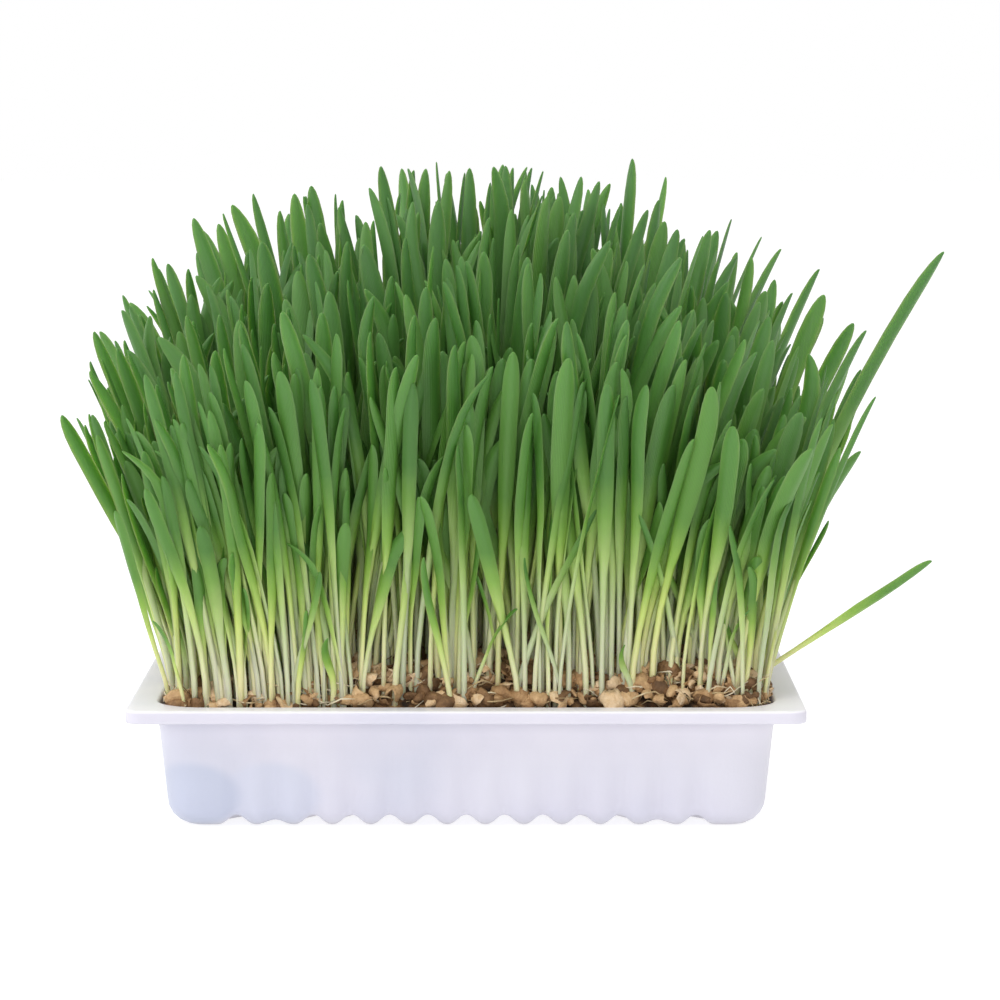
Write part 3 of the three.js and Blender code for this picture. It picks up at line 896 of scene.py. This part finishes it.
def grow(name, shoots, seed):
    """Every shoot as a thin folded strip with a midrib: rings of six round a bent line."""
    draw = draws(seed)
    bm = bmesh.new()
    tone = bm.verts.layers.float.new("tone")
    growth = bm.verts.layers.float.new("growth")
    uv = bm.loops.layers.uv.new("leaf")
    sides = len(RING_U) - 1
    for blade in shoots:
        blade["stem"] = 0.72 + 0.3 * draw()
        shade, sway, phase = draw(), spread(draw, SWAY), 6.28 * draw()
        tip_curl = spread(draw, TIP_CURL)
        hook = spread(draw, HOOK) if draw() < HOOKED_SHARE else 0
        if blade["bend"] != BEND:
            # A blade that has fallen out at an end, or a late one, keeps its even arc.
            hook = 0
        low = Vector((blade["x"], blade["y"], blade["z"]))
        # Deeper in the turf a blade is painted green and darker from lower down, as painted
        # shade among the stems.
        shade_green = INNER_SHADE_GREEN * portion(depth_inside(low.x, low.y), INNER_DEPTH)
        ring_before = None
        for k, t in enumerate(SMOOTH_LEVELS):
            reach = blade["height"] * t ** blade["bend"]
            wide = Vector((math.cos(turn_at(blade, t)), math.sin(turn_at(blade, t)), 0))
            wave = sway * math.sin(math.pi * t) * math.sin(phase + 2.4 * t)
            curl = tip_curl * max(0, t - CURL_FROM) ** 2 * 6
            aside = wave * 0.5 + hook * max(0, t - HOOK_FROM) ** 2 * 22
            across = Vector((-wide.y, wide.x, 0))
            centre = low + Vector((blade["lean_x"] * reach, blade["lean_y"] * reach,
                                   blade["height"] * t)) + wide * aside + across * curl
            steep = Vector((blade["lean_x"], blade["lean_y"], 0)) * blade["bend"] * max(
                t, 0.01) ** (blade["bend"] - 1)
            along = Vector((steep.x, steep.y, 1)).normalized()
            wide = (wide - along * wide.dot(along)).normalized()
            keel = along.cross(wide)
            if k == 0:
                centre -= along * ROOT
            half = smooth_width(blade, t) / 2
            leafy = portion(t - 0.3, 0.3)
            thick = min(half, STEM_THICK * half * (1 - leafy) + LEAF_THICK * leafy)
            fold = LEAF_FOLD * half * leafy
            ring = []
            for c, d in ((-1, fold), (-0.5, fold * 0.42 - thick), (0.0, -thick * 1.15),
                         (0.5, fold * 0.42 - thick), (1, fold), (0.0, thick * 0.9)):
                v = bm.verts.new(centre + wide * half * c + keel * d)
                v[tone] = shade
                v[growth] = t * (0.5 + 0.5 * blade["height"] / BLADE_HEIGHT) + shade_green
                ring.append(v)
            if ring_before:
                for j in range(sides):
                    face = bm.faces.new((ring_before[j], ring_before[(j + 1) % sides],
                                         ring[(j + 1) % sides], ring[j]))
                    for loop, s, level in zip(face.loops, (j, j + 1, j + 1, j),
                                              (before, before, t, t)):
                        loop[uv].uv = (RING_U[s], level)
                if leafy > 0.5:
                    # The leaf's two margins are crisp, so its faces look flat.
                    for j in (0, 4):
                        bm.edges.get((ring_before[j], ring[j])).smooth = False
            else:
                bm.faces.new(ring[::-1])
            ring_before, before = ring, t
        bm.faces.new(ring_before)
    mesh = bpy.data.meshes.new(name)
    bm.to_mesh(mesh)
    bm.free()
    return mesh


leaf, tree, shader = material("leaf")
height_up = node(tree, "ShaderNodeAttribute", attribute_name="growth")
shade = node(tree, "ShaderNodeAttribute", attribute_name="tone")
streaks = mottle(tree, 60.0, 300.0)
# A blade greens higher up or lower down by its own tone.
shift = node(tree, "ShaderNodeMath", operation="MULTIPLY_ADD")
shift.inputs[1].default_value = 0.16
tree.links.new(shade.outputs["Fac"], shift.inputs[0])
tree.links.new(height_up.outputs["Fac"], shift.inputs[2])
cloud_shift = node(tree, "ShaderNodeMath", operation="MULTIPLY_ADD")
cloud_shift.inputs[1].default_value = 0.10
tree.links.new(streaks.outputs["Cloud"], cloud_shift.inputs[0])
tree.links.new(shift.outputs[0], cloud_shift.inputs[2])
green = ramp(tree, cloud_shift.outputs[0], [
    (0.12, linear(236, 227, 202)),
    (0.29, linear(214, 216, 172)),
    (0.45, linear(182, 202, 120)),
    (0.56, linear(127, 166, 71)),
    (0.67, linear(82, 129, 50)),
    (1.0, linear(83, 132, 61)),
])
# Some blades are darker, some yellower and lit through.
own = ramp(tree, shade.outputs["Fac"], [
    (0.0, (0.66, 0.76, 0.72)),
    (0.45, (0.92, 0.96, 0.94)),
    (0.8, (1.07, 1.05, 0.96)),
    (1.0, (1.17, 1.10, 0.93)),
])
toned = node(tree, "ShaderNodeMix", data_type="RGBA", blend_type="MULTIPLY")
toned.inputs[0].default_value = 1.0
tree.links.new(green, toned.inputs[6])
tree.links.new(own, toned.inputs[7])
uv_map = node(tree, "ShaderNodeUVMap", uv_map="leaf")
veins = node(tree, "ShaderNodeTexWave", {"Scale": 4.2, "Distortion": 0.5, "Detail": 1.0},
             wave_type="BANDS", bands_direction="X")
tree.links.new(uv_map.outputs["UV"], veins.inputs["Vector"])
vein_tint = node(tree, "ShaderNodeMix", data_type="RGBA", blend_type="MULTIPLY")
vein_tint.inputs[0].default_value = 0.3
tree.links.new(toned.outputs[2], vein_tint.inputs[6])
vein_shade = ramp(tree, veins.outputs["Fac"], [(0.0, (0.45, 0.55, 0.35)), (1.0, (1, 1, 1))])
tree.links.new(vein_shade, vein_tint.inputs[7])
tree.links.new(vein_tint.outputs[2], shader.inputs["Base Color"])
shader.inputs["Roughness"].default_value = 0.42
shader.inputs["Specular IOR Level"].default_value = 0.45
ribs = node(tree, "ShaderNodeBump", {"Strength": 0.25, "Distance": 0.0002})
tree.links.new(veins.outputs["Fac"], ribs.inputs["Height"])
tree.links.new(ribs.outputs["Normal"], shader.inputs["Normal"])
shader.inputs["Subsurface Weight"].default_value = 0.25
shader.inputs["Subsurface Radius"].default_value = (0.6, 1.0, 0.25)
shader.inputs["Subsurface Scale"].default_value = 0.0025

piece("main_blades", grow("main_blades", main_shoots(), 31), leaf, "wheatgrass", "wheatgrass")
for name, shoots, seed in (
    ("fine_blades_a", filling_shoots(count=380, seed=5501), 77),
    ("fine_blades_b", filling_shoots(count=380, seed=9203), 78),
    ("end_blades", end_shoots(count=96, seed=8117), 80),
    ("front_blades", front_shoots(count=46, seed=4409), 81),
    ("young_blades", young_shoots(count=60, seed=3307), 79),
):
    piece(name, grow(name, shoots, seed), leaf, "wheatgrass")


# --- Floor and light ------------------------------------------------------------------
# A plain white floor that glows a little, like a light table, and wide soft light, as in a
# studio picture of goods for sale.
FLOOR_REACH = 6
FLOOR_GLOW = 0.68
SKY_LIGHT = 0.72
SOFTBOXES = (
    # name, place, aim, size, power
    ("key", (-0.5, -1.1, 1.4), (0, 0, 0.1), 0.6, 7),
    ("front", (0.1, -1.7, 0.4), (0, 0, 0.1), 0.5, 3.6),
    ("top", (0, -0.1, 1.7), (0, 0, 0.1), 1.0, 6),
    ("left", (-1.3, 0.0, 0.5), (-0.08, 0, 0.09), 0.6, 5),
)

floor_bm = bmesh.new()
bmesh.ops.create_grid(floor_bm, x_segments=1, y_segments=1, size=FLOOR_REACH)
floor_mesh = bpy.data.meshes.new("floor")
floor_bm.to_mesh(floor_mesh)
floor_bm.free()
floor = bpy.data.objects.new("floor", floor_mesh)
bpy.context.collection.objects.link(floor)
pale, tree, shader = material("pale_floor")
shader.inputs["Base Color"].default_value = (0.5, 0.5, 0.5, 1)
shader.inputs["Roughness"].default_value = 0.9
shader.inputs["Emission Color"].default_value = (1, 1, 1, 1)
shader.inputs["Emission Strength"].default_value = FLOOR_GLOW
floor_mesh.materials.append(pale)

world = bpy.data.worlds.new("studio")
world.use_nodes = True
tree = world.node_tree
glow = tree.nodes["Background"]
glow.inputs["Strength"].default_value = SKY_LIGHT
glow.inputs["Color"].default_value = (1, 1, 1, 1)
seen = node(tree, "ShaderNodeBackground", {"Color": (1, 1, 1, 1), "Strength": 1.0})
straight = node(tree, "ShaderNodeLightPath")
either = node(tree, "ShaderNodeMixShader")
tree.links.new(straight.outputs["Is Camera Ray"], either.inputs[0])
tree.links.new(glow.outputs[0], either.inputs[1])
tree.links.new(seen.outputs[0], either.inputs[2])
tree.links.new(either.outputs[0], tree.nodes["World Output"].inputs["Surface"])
bpy.context.scene.world = world


def softbox(name, place, aim, size, power):
    """A square, soft studio light that points at a place."""
    data = bpy.data.lights.new(name, "AREA")
    data.shape = "SQUARE"
    data.size = size
    data.energy = power
    made = bpy.data.objects.new(name, data)
    made.location = place
    made.rotation_euler = (Vector(aim) - Vector(place)).to_track_quat("-Z", "Y").to_euler()
    bpy.context.collection.objects.link(made)


for box in SOFTBOXES:
    softbox(*box)
bpy.context.scene.view_settings.view_transform = "Standard"
